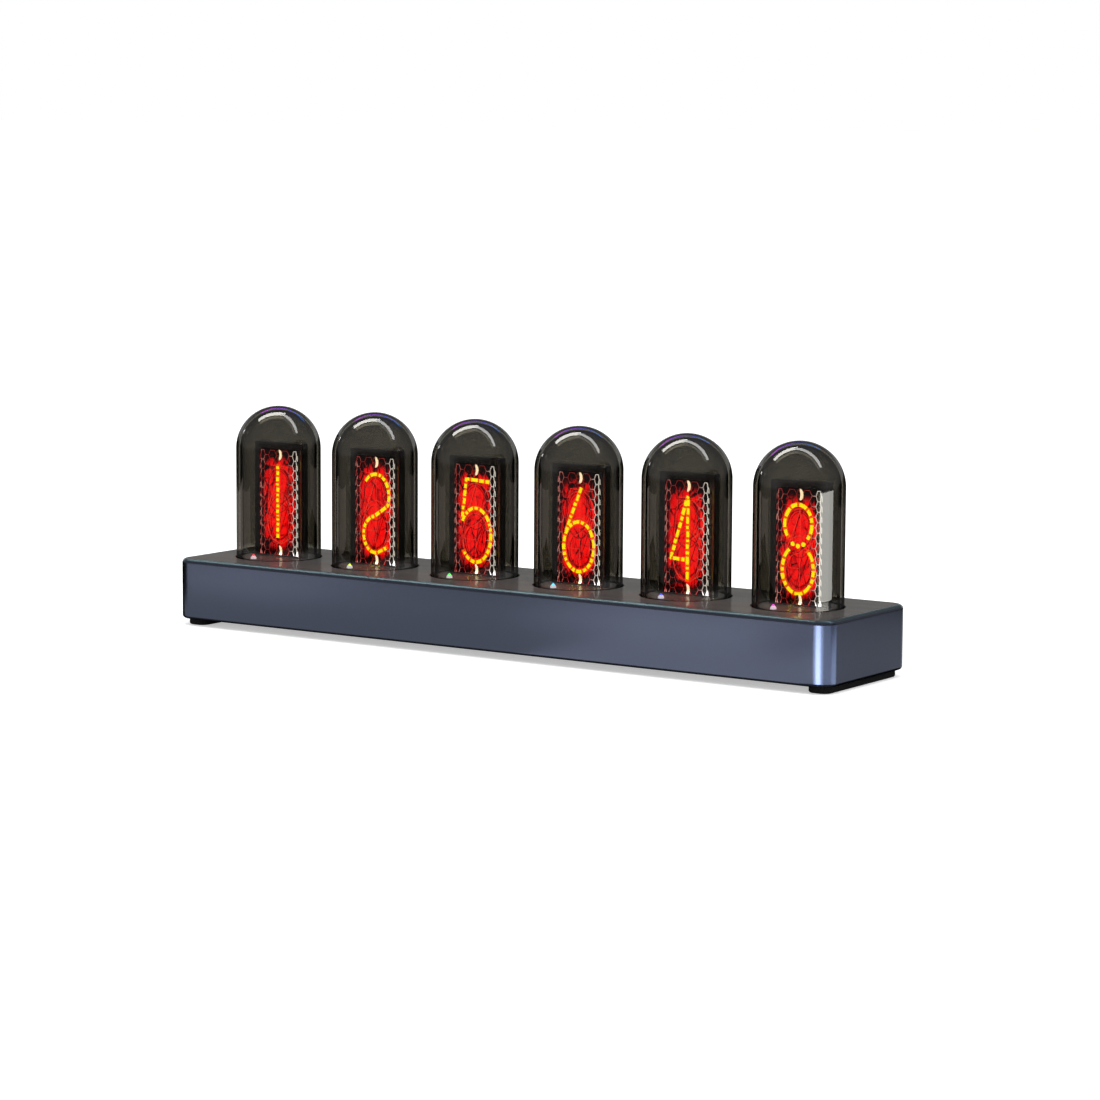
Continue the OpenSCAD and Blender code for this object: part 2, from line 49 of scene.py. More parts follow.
# View: a long lens a little above the table, to the right of the clock and well back from it.
camera_place = Vector((0.6947, -1.01188, 0.18826))
camera_turn = math.radians(34.113)
camera_tip = math.radians(-7.164)
camera_roll = math.radians(0.313)
bpy.ops.object.camera_add()
camera = bpy.context.object
camera.data.lens = 119.23
camera.data.sensor_width = 36
camera.matrix_world = (
    Matrix.Translation(camera_place)
    @ Matrix.Rotation(camera_turn, 4, "Z")
    @ Matrix.Rotation(math.radians(90) + camera_tip, 4, "X")
    @ Matrix.Rotation(camera_roll, 4, "Z")
)
bpy.context.scene.camera = camera
bpy.context.scene.view_settings.view_transform = "Standard"


# Metal base: one aluminium extrusion with milled corners, fine-blasted and anodised blue-grey.
# The rounded top edge has a teal colour painted on as its sheen, a painted highlight, so it shows as a thin
# teal line.


class Socket:
    """An output of a node. Sums and products of sockets add their own Math nodes."""

    def __init__(self, finish, socket):
        self.finish = finish
        self.socket = socket

    def math(self, operation, *values):
        return self.finish.node("Math", {"operation": operation}, dict(enumerate(values)))

    def __add__(self, other):
        return self.math("ADD", self, other)

    def __sub__(self, other):
        return self.math("SUBTRACT", self, other)

    def __rsub__(self, other):
        return self.math("SUBTRACT", other, self)

    def __mul__(self, other):
        return self.math("MULTIPLY", self, other)

    def __truediv__(self, other):
        return self.math("DIVIDE", self, other)

    def __pow__(self, other):
        return self.math("POWER", self, other)

    __radd__ = __add__
    __rmul__ = __mul__

    def ramp(self, low, high):
        """0 below low, 1 above high and a soft step between."""
        return self.finish.node("MapRange", {"interpolation_type": "SMOOTHSTEP"}, {0: self, 1: low, 2: high})

    def above(self, limit):
        return self.math("GREATER_THAN", self, limit)

    def size(self):
        return self.math("ABSOLUTE", self)

    def fract(self):
        return self.math("FRACT", self)

    def sine(self):
        return self.math("SINE", self)


class Finish:
    """A material, or the world, while it is mixed. Every node of it comes from one method."""

    def __init__(self, name, holder=None):
        self.holder = holder or bpy.data.materials.new(name)
        self.holder.use_nodes = True
        self.tree = self.holder.node_tree
        self.tree.nodes.clear()
        self.place = self.node("TexCoord", output="Object")
        self.x, self.y, self.z = (self.node("SeparateXYZ", values={0: self.place}, output=a) for a in "XYZ")

    def node(self, kind, settings=None, values=None, output=0):
        node = self.tree.nodes.new("ShaderNode" + kind)
        for name, value in (settings or {}).items():
            if name == "stops":
                stops = node.color_ramp.elements
                for k, (position, colour) in enumerate(value):
                    stop = stops[k] if k < 2 else stops.new(position)
                    stop.position = position
                    stop.color = colour
            elif name == "steps":
                node.color_ramp.interpolation = value
            else:
                setattr(node, name, value)
        for key, value in (values or {}).items():
            if isinstance(value, Socket):
                self.tree.links.new(value.socket, node.inputs[key])
            else:
                node.inputs[key].default_value = value
        return Socket(self, node.outputs[output]) if len(node.outputs) else None

    def mix(self, share, first, second):
        return self.node("Mix", {"data_type": "RGBA"}, {0: share, 6: first, 7: second}, output=2)

    def noise(self, size, detail=2.0, stretch=(1, 1, 1)):
        """Soft noise whose blotches are about size across, stretched along the axes."""
        place = self.node("Mapping", values={0: self.place, "Scale": stretch})
        return self.node("TexNoise", values={"Vector": place, "Scale": 0.5 / size, "Detail": detail})

    def bump(self, height, depth):
        return self.node("Bump", values={"Height": height, "Distance": depth, "Strength": 1.0})

    def coat(self, **sockets):
        """The usual plastic, metal or paint shader. An underscore in a name stands for a space."""
        return self.node("BsdfPrincipled", values={k.replace("_", " "): v for k, v in sockets.items()})

    def done(self, shader, output="OutputMaterial"):
        self.node(output, values={"Surface": shader})
        return self.holder


def tint(red, green, blue):
    """A colour as seen on a screen, 0 to 255, in linear light."""
    parts = [c / 255 for c in (red, green, blue)]
    return (*(c / 12.92 if c <= 0.04045 else ((c + 0.055) / 1.055) ** 2.4 for c in parts), 1.0)


def dress(material, *names):
    """Gives the one material to every face of these nodes."""
    for name in names:
        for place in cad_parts[name].material_slots:
            place.material = material


base_low, base_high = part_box("base_shell")
edge_round = 0.9 * mm


def anodised(name, face, edge, edge_z):
    metal = Finish(name)
    grain = metal.noise(0.22 * mm, 3.0)
    cloud = metal.noise(34 * mm, 2.0, (1, 1, 3))
    colour = metal.mix(cloud, tint(*(0.94 * c for c in face)), tint(*face))
    # Painted highlight: the rounded top edge takes the edge colour, a painted teal sheen, and a rougher
    # finish.
    edge_sheen_band = metal.z.ramp(edge_z - edge_round, edge_z - 0.3 * edge_round)
    colour = metal.mix(edge_sheen_band, colour, tint(*edge))
    return metal.done(
        metal.coat(
            Base_Color=colour,
            Metallic=1.0,
            Roughness=0.2 + 0.05 * grain + 0.02 * cloud + 0.16 * edge_sheen_band,
            Normal=metal.bump(grain, 0.006 * mm),
        )
    )


# The second colour is the painted teal sheen on the rounded top edge.
shell_finish = anodised("anodised_aluminium", (98, 104, 122), (80, 100, 108), base_high.z)
low_edge = 1.2 * mm


def round_low_edge(name, radius, material):
    """A copy of a node, in its place, with a rounded edge where its outer walls meet its flat underside."""
    low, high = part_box(name)
    bpy.ops.object.select_all(action="DESELECT")
    piece = bpy.data.objects.new(f"{name}_rounded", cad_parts[name].data.copy())
    bpy.context.collection.objects.link(piece)
    piece.select_set(True)
    bpy.context.view_layer.objects.active = piece
    bpy.ops.object.mode_set(mode="EDIT")
    bpy.ops.mesh.select_all(action="SELECT")
    bpy.ops.mesh.remove_doubles(threshold=0.005 * mm)
    bpy.ops.mesh.dissolve_limited(angle_limit=math.radians(0.5))
    mesh = bmesh.from_edit_mesh(piece.data)
    middle = (low + high) / 2
    half = (high - low) / 2
    end_reach = 7.8 * mm
    side_reach = 1.3 * mm
    for edge in mesh.edges:
        points = [v.co - middle for v in edge.verts]
        near = all(abs(p.x) > half.x - end_reach or abs(p.y) > half.y - side_reach for p in points)
        flat = all(v.co.z < low.z + 0.01 * mm for v in edge.verts)
        walls = [f for f in edge.link_faces if abs(f.normal.z) < 0.1]
        outer = any(f.normal.dot((edge.verts[0].co + edge.verts[1].co) / 2 - middle) > 0 for f in walls)
        edge.select_set(near and flat and outer)
    bmesh.update_edit_mesh(piece.data)
    bpy.ops.mesh.bevel(offset=radius, segments=5, clamp_overlap=True)
    bpy.ops.object.mode_set(mode="OBJECT")
    bpy.ops.object.shade_smooth_by_angle(angle=math.radians(30))
    level = piece.modifiers.new("level_faces", "WEIGHTED_NORMAL")
    level.keep_sharp = True
    level.weight = 100
    bpy.ops.object.modifier_apply(modifier="level_faces")
    piece.data.materials.clear()
    piece.data.materials.append(material)
    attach(piece, "base")
    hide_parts(name)


round_low_edge("base_shell", low_edge, shell_finish)


# Rubber feet: two moulded bars, one glued across each end under the base.
# Plain black rubber with a fine matt skin and a soft lower edge.
def matt(name, colour, rough, size, depth):
    skin = Finish(name)
    pits = skin.noise(size, 3.0)
    shade = skin.mix(pits, tint(*(0.75 * c for c in colour)), tint(*colour))
    return skin.done(
        skin.coat(Base_Color=shade, Roughness=rough + 0.12 * pits, Normal=skin.bump(pits, depth))
    )


foot_finish = matt("foot_rubber", (28, 27, 28), 0.72, 0.35 * mm, 0.03 * mm)
foot_edge = 0.7 * mm
for name in ("foot_left", "foot_right"):
    round_low_edge(name, foot_edge, foot_finish)


# Bottom cover: a pressed steel plate with spacers for the board, powder-coated black.
# Six countersunk screws hold it, and six more hold the main board.
dress(matt("powder_coat", (38, 39, 42), 0.5, 0.6 * mm, 0.04 * mm), "bottom_cover")


def steel(name, colour, rough, stretch):
    metal = Finish(name)
    brush = metal.noise(0.12 * mm, 2.0, stretch)
    stain = metal.noise(3 * mm)
    shade = metal.mix(stain, tint(*(0.86 * c for c in colour)), tint(*colour))
    return metal.done(
        metal.coat(
            Base_Color=shade,
            Metallic=1.0,
            Roughness=rough + 0.16 * brush,
            Normal=metal.bump(brush, 0.004 * mm),
        )
    )


dress(steel("screw_steel", (200, 200, 204), 0.24, (1, 1, 1)), "bottom_screws", "board_screws")


# Main board: green fibreglass with copper tracks under its varnish and tinned pads.
# It lies on the cover's spacers, and carries the sockets, the chips and the switches.
track_pitch = 1.27 * mm
pad_pitch = 3 * track_pitch


def circuit(name, along, across, chip_y=None):
    """A board with tracks along it and pads in rows. What stands behind chip_y is a black chip."""
    board = Finish(name)
    axes = {"x": board.x, "y": board.y, "z": board.z}
    lane = (axes[across] / track_pitch).fract()
    step = (axes[along] / pad_pitch).fract()
    field = board.noise(9 * mm, 1.0)
    tracks = (lane - 0.5).size().above(0.32) * field.above(0.5)
    in_lane = 1 - (lane - 0.5).size().above(0.22)
    in_row = 1 - (step - 0.5).size().above(0.1)
    pads = in_lane * in_row * (1 - field.above(0.47))
    weave = board.noise(0.5 * mm, 1.0)
    varnish = board.mix(weave, tint(10, 62, 36), tint(16, 76, 44))
    colour = board.mix(tracks, varnish, tint(34, 108, 62))
    colour = board.mix(pads, colour, tint(196, 190, 172))
    metallic = pads
    if chip_y is not None:
        chip = board.y.above(chip_y)
        colour = board.mix(chip, colour, tint(24, 24, 26))
        metallic = pads * (1 - chip)
    return board.done(
        board.coat(
            Base_Color=colour,
            Metallic=metallic,
            Roughness=0.36 + 0.1 * weave,
            Normal=board.bump(tracks + pads, 0.02 * mm),
        )
    )


dress(circuit("main_board_varnish", "x", "y"), "main_board")


# Parts on the main board: black moulded sockets, chips, buzzer and cell holder, tinned cans and cells.
# They are soldered down, and the coin cell clips into its holder.
def part_plastic():
    plastic = Finish("part_plastic")
    skin = plastic.noise(0.2 * mm)
    coil = (plastic.z / (0.11 * mm)).sine()
    shade = plastic.mix(skin, tint(22, 22, 24), tint(34, 34, 37))
    return plastic.done(
        plastic.coat(Base_Color=shade, Roughness=0.46 + 0.08 * coil, Normal=plastic.bump(skin, 0.02 * mm))
    )


dress(
    part_plastic(), "display_sockets", "board_chips", "buzzer", "coin_cell_holder", "switch_housings"
)
dress(steel("tinned_can", (206, 208, 212), 0.3, (1, 8, 1)), "control_module", "coin_cell")


# Power socket: a drawn steel shell with a black tongue that carries gold contacts.
# It is soldered to the board's back edge and looks out through the sunk port in the rear wall.
tongue_half = 3.35 * mm
tongue_thick = 0.8 * mm
contact_pitch = 0.5 * mm


def socket_steel():
    low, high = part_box("usb_socket")
    middle = (low + high) / 2
    shell = Finish("socket_steel")
    aside = (shell.x - middle.x).size()
    height = (shell.z - middle.z).size()
    tongue = (1 - aside.above(tongue_half)) * (1 - height.above(tongue_thick / 2))
    lane = (shell.x / contact_pitch).fract()
    contact = tongue * (lane - 0.5).size().above(0.3)
    grain = shell.noise(0.15 * mm, 2.0, (1, 6, 1))
    colour = shell.mix(tongue, tint(186, 188, 192), tint(20, 20, 22))
    colour = shell.mix(contact, colour, tint(212, 172, 96))
    return shell.done(
        shell.coat(
            Base_Color=colour,
            Metallic=1 - tongue * (1 - contact),
            Roughness=0.28 + 0.12 * grain,
            Normal=shell.bump(grain, 0.004 * mm),
        )
    )


dress(socket_steel(), "usb_socket")


# Top plate: black acrylic, polished, let into the metal rim from above.
# Routed rings hold the glass bells, and slots let the displays through.
def polished_plate():
    plate = Finish("smoked_acrylic")
    dust = plate.noise(1.2 * mm, 4.0)
    wipe = plate.noise(14 * mm, 2.0, (1, 5, 1))
    body = plate.coat(
        Base_Color=plate.mix(wipe, tint(62, 62, 62), tint(72, 72, 71)),
        Roughness=0.5 + 0.1 * dust,
        Specular_IOR_Level=0.0,
    )
    haze = plate.node("BsdfGlossy", values={"Color": tint(255, 250, 244), "Roughness": 0.3})
    shine = plate.node("BsdfGlossy", values={"Color": tint(255, 250, 244), "Roughness": 0.02})
    skin = plate.node("MixShader", values={0: 0.03 + 0.01 * wipe, 1: body, 2: haze})
    return plate.done(plate.node("MixShader", values={0: 0.035 + 0.01 * wipe, 1: skin, 2: shine}))


dress(polished_plate(), "top_plate")


# Coloured lights: one small lamp on the board in front of each display, and a frosted rod that brings
# its light up through the plate. Red, yellow-green, green, cyan, blue and magenta, from left to right.
tubes = range(1, 7)
tube_x = {i: sum(p.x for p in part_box(f"glass_dome_{i}")) / 2 for i in tubes}
tube_pitch = tube_x[2] - tube_x[1]
plate_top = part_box("top_plate")[1].z
lamp_colours = [
    (255, 20, 46),
    (190, 230, 10),
    (10, 235, 60),
    (10, 200, 235),
    (40, 70, 255),
    (230, 30, 210),
]


def lamp_light(name, strength, tip):
    """Frosted white below the height of the tip, and lit in its tube's colour above it."""
    rod = Finish(name)
    row = rod.x / (len(tubes) * tube_pitch) + 0.5
    stops = [(k / len(tubes), tint(*colour)) for k, colour in enumerate(lamp_colours)]
    colour = rod.node("ValToRGB", {"stops": stops, "steps": "CONSTANT"}, {0: row})
    frost = rod.noise(0.3 * mm)
    lit = rod.z.ramp(tip, tip + 0.3 * mm)
    white = rod.mix(frost, tint(150, 150, 156), tint(186, 186, 192))
    return rod.done(
        rod.coat(
            Base_Color=rod.mix(0.15 + 0.85 * lit, white, colour),
            Roughness=0.3 + 0.2 * frost,
            Emission_Color=rod.mix(lit, tint(128, 128, 136), colour),
            Emission_Strength=strength,
        )
    )


dress(lamp_light("lamp_body", 1.0, 0), "rgb_leds")
rod_radius = 1.0 * mm
collar_radius = 1.8 * mm
collar_thick = 1 * mm
collar_z = plate_top - 3 * mm
rod_foot, rod_head = (p.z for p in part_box("light_guides"))
rod_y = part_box("light_guides")[0].y + collar_radius
rod_profile = [
    (collar_z - collar_thick, rod_radius),
    (collar_z - collar_thick, collar_radius),
    (collar_z, collar_radius),
    (collar_z, rod_radius),
    (plate_top + 0.45 * mm, rod_radius),
    (plate_top + 0.8 * mm, 0.8 * mm),
    (rod_head - 0.35 * mm, 0.42 * mm),
    (rod_head, 0.2 * mm),
]
first_slice = 0.3 * mm
bpy.ops.object.select_all(action="DESELECT")
bpy.ops.mesh.primitive_cylinder_add(
    vertices=32, radius=rod_radius, depth=first_slice, location=(0, rod_y, rod_foot + first_slice / 2)
)
rod = bpy.context.object
bpy.ops.object.transform_apply(location=True)


def choose(kind, wanted):
    """In edit mode, selects the faces or edges for which wanted(middle) is true, and nothing else."""
    mesh = bmesh.from_edit_mesh(bpy.context.object.data)
    for part in (*mesh.verts, *mesh.edges, *mesh.faces):
        part.select = False
    for part in getattr(mesh, kind):
        middle = sum((v.co for v in part.verts), Vector()) / len(part.verts)
        if wanted(middle):
            part.select_set(True)
    mesh.select_flush_mode()
    bmesh.update_edit_mesh(bpy.context.object.data)


bpy.ops.object.mode_set(mode="EDIT")
built_up = rod_foot + first_slice
for top, radius in rod_profile:
    choose("faces", lambda middle: middle.z > built_up - 0.01 * mm)
    bpy.ops.mesh.extrude_region_move(TRANSFORM_OT_translate={"value": (0, 0, top - built_up)})
    mesh = bmesh.from_edit_mesh(rod.data)
    ring = [v for v in mesh.verts if v.select]
    grow = radius / max(math.hypot(v.co.x, v.co.y - rod_y) for v in ring)
    bpy.ops.transform.resize(value=(grow, grow, 1), center_override=(0, rod_y, top))
    built_up = top
bpy.ops.object.mode_set(mode="OBJECT")
bpy.ops.object.shade_smooth_by_angle(angle=math.radians(35))
rod.data.materials.append(lamp_light("light_rod", 2.6, rod_head - 0.6 * mm))
rod_shift = sum(p.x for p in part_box("light_guides")) / 2 - (tube_x[1] + tube_x[6]) / 2
for i in tubes:
    copy = bpy.data.objects.new(f"light_rod_{i}", rod.data.copy())
    bpy.context.collection.objects.link(copy)
    copy.data.transform(Matrix.Translation((tube_x[i] + rod_shift, 0, 0)))
    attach(copy, "base")
    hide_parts("light_guides")
bpy.data.objects.remove(rod)


# Seals: flat black rubber rings in the routed grooves, under the foot of each glass bell.
dress(matt("seal_rubber", (18, 18, 18), 0.66, 0.3 * mm, 0.02 * mm), "seal_rings")


# Display frames: a black moulded housing round each screen, open at the back.
# It stands in its slot in the plate and clips round the screen and its board.
def bezel():
    skin = Finish("black_bezel")
    pits = skin.noise(0.25 * mm, 2.0)
    wear = skin.noise(6 * mm, 2.0)
    shade = skin.mix(wear, tint(58, 58, 60), tint(72, 72, 74))
    return skin.done(
        skin.coat(Base_Color=shade, Roughness=0.34 + 0.1 * pits, Normal=skin.bump(pits, 0.01 * mm))
    )


dress(bezel(), *(f"display_frame_{i}" for i in tubes))
board_thick = 1.0 * mm
board_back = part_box("display_board_1")[0].y + board_thick + 0.02 * mm
dress(circuit("display_board_varnish", "z", "x", board_back), *(f"display_board_{i}" for i in tubes))


# Screens: flat colour panels. Each shows a lit wire numeral in a red haze behind a hexagonal mesh,
# as a round tube would, with a small ring at either end. The dark cell has a glossy face.
# Every light on the screens is raised by through_glass, for what the smoked bell takes from it.
screen_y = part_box("lcd_cell_1")[0].y
through_glass = 6.2


def screen_face():
    cell = Finish("screen_face")
    streak = cell.noise(0.5 * mm, 1.0, (1, 1, 20))
    return cell.done(
        cell.coat(
            Base_Color=cell.mix(streak, tint(9, 9, 10), tint(15, 14, 15)), Roughness=0.14 + 0.05 * streak
        )
    )


dress(screen_face(), *(f"lcd_cell_{i}" for i in tubes))

# Numerals: bent wire that glows yellow, broken into short beads, with an orange rim round it.
# The strokes are points or arcs (middle, radii, from, to) in shares of the numeral's width and height.
shown_digits = [1, 2, 5, 6, 4, 8]
digit_w = 11.7 * mm
digit_h = 29 * mm
digit_drop = 0.09 * digit_h
digit_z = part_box("numeral_1")[0].z - digit_drop
stroke_shares = [
    [[(0, 0.5, 0.47, 0.48, 0, 360)]],
    [[(-0.05, 0.09), (-0.05, 1)]],
    [[(0.02, 0.72, 0.49, 0.25, 140, -30), (0, 0.24, 0.43, 0.22, 95, 285), (0.46, 0.1)]],
    [[(0, 0.75, 0.44, 0.23, 150, -80)], [(0, 0.27, 0.49, 0.25, 85, -150)]],
    [[(0.03, 1), (-0.52, 0.28), (0, 0.27)], [(0.03, 0.96), (0.03, 0.02)]],
    [[(0.5, 0.98), (-0.32, 1), (-0.46, 0.52)], [(0.02, 0.34, 0.54, 0.32, 150, -145)]],
    [[(0.07, 1), (-0.46, 0.47)], [(0, 0.31, 0.52, 0.29, 0, 360)]],
    [[(-0.45, 1), (0.45, 1), (-0.1, 0.03)]],
    [[(-0.03, 0.78, 0.43, 0.22, -46, 226)], [(-0.03, 0.27, 0.5, 0.27, 124, 416)]],
    [[(-0.07, 0.02), (0.46, 0.53)], [(0, 0.69, 0.52, 0.29, 0, 360)]],
]
waist_dot_shares = {8: [(-0.2, 0.558), (-0.035, 0.536), (0.14, 0.558)]}
arc_step = 6


def stroke_points(stroke, width=1.0, height=1.0):
    """The corners of a stroke as flat points across and up the screen, from the foot of the numeral."""
    points = []
    for piece in stroke:
        if len(piece) == 2:
            points.append(Vector((piece[0] * digit_w * width, piece[1] * digit_h * height)))
            continue
        x, z, wide, high, start, end = piece
        count = round(abs(end - start) / arc_step)
        for k in range(count + 1):
            angle = math.radians(start + (end - start) * k / count)
            across = (x + wide * math.cos(angle)) * digit_w * width
            points.append(Vector((across, (z + high * math.sin(angle)) * digit_h * height)))
    return points


def walk(points, start, end):
    """The part of a line of points between two distances along it."""
    found = []
    gone = 0.0
    for a, b in zip(points, points[1:]):
        length = (b - a).length
        first, last = max(start, gone), min(end, gone + length)
        if last > first:
            found += [a.lerp(b, (s - gone) / length) for s in (first, last)]
        gone += length
    return [p for k, p in enumerate(found) if k == 0 or (p - found[k - 1]).length > 0.01 * mm]


def total(points):
    return sum((b - a).length for a, b in zip(points, points[1:]))


def wires(name, lines, y, flat, material, replaced=(), sides=2):
    """Lines of (point across, point up, wire radius) drawn as wire, pressed flat and set on the screen."""
    curve = bpy.data.curves.new(name, "CURVE")
    curve.dimensions = "3D"
    curve.bevel_depth = 1.0
    curve.bevel_resolution = sides
    curve.use_fill_caps = True
    for line in lines:
        spline = curve.splines.new("POLY")
        spline.points.add(len(line) - 1)
        for point, (x, z, radius) in zip(spline.points, line):
            point.co = (x, 0, z, 1)
            point.radius = radius
    piece = bpy.data.objects.new(name, curve)
    bpy.context.collection.objects.link(piece)
    bpy.ops.object.select_all(action="DESELECT")
    piece.select_set(True)
    bpy.context.view_layer.objects.active = piece
    bpy.ops.object.convert(target="MESH")
    piece = bpy.context.object
    piece.data.transform(Matrix.Translation((0, y, 0)) @ Matrix.Scale(flat, 4, (0, 1, 0)))
    bpy.ops.object.shade_smooth()
    piece.data.materials.append(material)
    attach(piece, "base")
    if replaced:
        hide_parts(*replaced)
    return piece


def glowing(name, colour, strength):
    wire = Finish(name)
    grain = wire.noise(0.5 * mm)
    return wire.done(
        wire.coat(
            Base_Color=tint(30, 6, 2),
            Roughness=0.5 + 0.1 * grain,
            Emission_Color=wire.mix(grain, tint(*colour), tint(*(min(255, 1.06 * c) for c in colour))),
            Emission_Strength=strength,
        )
    )


bead_lengths = {1: 1.9 * mm, 8: 3.1 * mm}
usual_bead = 2.5 * mm
bead_gap = 0.85 * mm
bead_wide = 0.59 * mm
dot_wide = 0.8 * mm
rim_wide = 0.8 * mm
wander = 0.1 * mm
chance = random.Random(6)
yellow = glowing("numeral_yellow", (255, 238, 16), through_glass)
orange = glowing("numeral_rim", (255, 92, 6), through_glass)
for i in tubes:
    digit = shown_digits[i - 1]
    bead = bead_lengths.get(digit, usual_bead)
    beads, rims = [], []
    for stroke in stroke_shares[digit]:
        points = stroke_points(stroke)
        shares = [chance.uniform(0.65, 1.4) for _ in range(max(1, round(total(points) / bead)))]
        scale = total(points) / sum(shares)
        start = 0.0
        for share in shares:
            aside = chance.uniform(-wander, wander)
            wide = bead_wide * chance.uniform(0.85, 1.1)
            part = walk(points, start, start + share * scale - bead_gap)
            beads.append([(tube_x[i] + p.x + aside, digit_z + p.y, wide) for p in part])
            start += share * scale
        rims.append([(tube_x[i] + p.x, digit_z + p.y, rim_wide) for p in points])
    for x, z in waist_dot_shares.get(digit, []):
        dot = []
        for k in (-1.0, -0.5, 0.0, 0.5, 1.0):
            dot_z = digit_z + z * digit_h + 0.9 * k * dot_wide
            dot.append((tube_x[i] + x * digit_w, dot_z, dot_wide * math.sqrt(1 - 0.8 * k * k)))
        beads.append(dot)
    numeral = wires(f"lit_numeral_{i}", beads, screen_y - 0.24 * mm, 0.24, yellow, [f"numeral_{i}"], 3)
    rim = wires(f"lit_rim_{i}", rims, screen_y - 0.14 * mm, 0.08, orange, sides=3)

# Haze and dark numerals: the red glow round the lit wire, and the numerals behind it that are off.
haze_half = 8.3 * mm
haze_foot = plate_top + 0.8 * mm
haze_head = plate_top + 38.0 * mm
haze_step = 0.6 * mm
cloud_half = 7.8 * mm
glow_reach = 2.8 * mm
cuts = 8


def haze_finish():
    haze = Finish("red_haze")
    glow = haze.node("Attribute", {"attribute_name": "glow"}, output="Fac")
    curl = haze.noise(1.1 * mm, 5.0, (1, 1, 0.6))
    tangle = [
        haze.node(
            "TexVoronoi",
            {"feature": "DISTANCE_TO_EDGE"},
            {"Vector": haze.node("Mapping", values={0: haze.place, "Scale": stretch}), "Scale": 1 / size},
        ).ramp(0.015, 0.075)
        for size, stretch in ((4.6 * mm, (1, 1, 0.45)), (3.0 * mm, (1.3, 1, 0.6)))
    ]
    light = glow * (0.42 + 1.25 * curl) - 0.36 * (1 - tangle[0]) - 0.3 * (1 - tangle[1])
    stops = [
        (0, tint(6, 3, 4)),
        (1, tint(255, 34, 26)),
        (0.14, tint(74, 3, 8)),
        (0.34, tint(196, 6, 12)),
        (0.56, tint(255, 14, 18)),
    ]
    colour = haze.node("ValToRGB", {"stops": stops}, {0: light})
    return haze.done(
        haze.coat(
            Base_Color=tint(10, 8, 9),
            Roughness=0.3 + 0.1 * curl,
            Emission_Color=colour,
            Emission_Strength=through_glass,
        )
    )


def glow_at(x, z, lines):
    """How brightly the haze glows at a point: a tall soft cloud, brighter beside the lit strokes."""
    up = (z - digit_z) / digit_h
    cloud = (abs(x) / cloud_half) ** 4 + (abs(up - 0.52) / 0.6) ** 4
    near = min((Vector((x, z - digit_z)) - p).length for line in lines for p in line)
    return max(0.0, min(1.0, 1.08 - cloud)) * (0.54 + 0.46 * math.exp(-near / glow_reach))


red_haze = haze_finish()
for i in tubes:
    columns = round(2 * haze_half / haze_step)
    rows = round((haze_head - haze_foot) / haze_step)
    bpy.ops.object.select_all(action="DESELECT")
    bpy.ops.mesh.primitive_grid_add(x_subdivisions=columns, y_subdivisions=rows, size=1)
    sheet = bpy.context.object
    sheet.name = f"red_haze_{i}"
    size = Matrix.Diagonal((2 * haze_half, haze_head - haze_foot, 1, 1))
    middle = Vector((tube_x[i], screen_y - 0.06 * mm, (haze_foot + haze_head) / 2))
    sheet.data.transform(Matrix.Translation(middle) @ Matrix.Rotation(math.radians(90), 4, "X") @ size)
    glow = sheet.data.attributes.new("glow", "FLOAT", "POINT")
    lines = [stroke_points(stroke) for stroke in stroke_shares[shown_digits[i - 1]]]
    lines = [
        [a.lerp(b, k / cuts) for a, b in zip(line, line[1:]) for k in range(cuts + 1)] for line in lines
    ]
    for vertex in sheet.data.vertices:
        glow.data[vertex.index].value = glow_at(vertex.co.x - tube_x[i], vertex.co.z, lines)
    sheet.data.materials.append(red_haze)
    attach(sheet, "base")

# The numerals that are off stand one behind the other, each a little smaller and higher than the last.
dark_wire = glowing("unlit_numerals", (84, 0, 4), through_glass)
red_wire = glowing("reddened_numerals", (255, 60, 48), through_glass)
unlit_digits = (0, 3, 8, 7, 9, 6, 2)
reddened_digits = (2, 5, 6, 4)
for i in tubes:
    for name, digits, radius, y, material in (
        ("unlit_numerals", unlit_digits, 0.12 * mm, 0.11 * mm, dark_wire),
        ("reddened_numerals", reddened_digits, 0.09 * mm, 0.13 * mm, red_wire),
    ):
        lines = []
        for k, digit in enumerate(digits):
            width, height = 0.99 - 0.045 * k, 0.99 - 0.018 * k
            shift = digit_z + 0.01 * digit_h * k
            for stroke in stroke_shares[digit]:
                points = stroke_points(stroke, width, height)
                lines.append([(tube_x[i] + p.x, shift + p.y, radius) for p in points])
        off = wires(f"{name}_{i}", lines, screen_y - y, 0.3, material, sides=0)

# Mesh and end rings: fine hexagonal wire round the numeral, bright where it turns away to the right,
# and the cream ceramic ring that carries the numerals at the top and the foot.
mesh_radius = 8.4 * mm
hexagon = 1.96 * mm
mesh_columns = 4
mesh_rows = 12
thin_wire = 0.07 * mm
right_wire = 0.12 * mm
left_wire = 0.06 * mm


def mesh_wire(angle, z, tube):
    """A point of the mesh, from its place round the tube to its place on the flat screen, and its radius."""
    angle = max(-math.pi / 2, min(math.pi / 2, angle))
    turn = math.sin(angle)
    wide = thin_wire + right_wire * max(0, turn) ** 2 + left_wire * max(0, -turn) ** 2
    return tube_x[tube] + mesh_radius * turn, z, wide


def mesh_lines(tube):
    lines = []
    column_step = 1.5 * hexagon / mesh_radius
    row_step = math.sqrt(3) * hexagon
    for column in range(-mesh_columns, mesh_columns + 1):
        for row in range(mesh_rows):
            z = plate_top + 0.4 * mm + row_step * (row + 0.5 * (column % 2))
            corners = [math.radians(60 * k) for k in range(4)]
            line = []
            for corner in corners:
                angle = column * column_step + hexagon * math.cos(corner) / mesh_radius
                line.append(mesh_wire(angle, z + hexagon * math.sin(corner), tube))
            if line[2][1] < haze_head:
                lines.append(line)
    return lines


def across_tube(finish):
    """How far a point lies across its tube, in metres from the tube's axis."""
    return ((finish.x / tube_pitch).fract() - 0.5) * tube_pitch


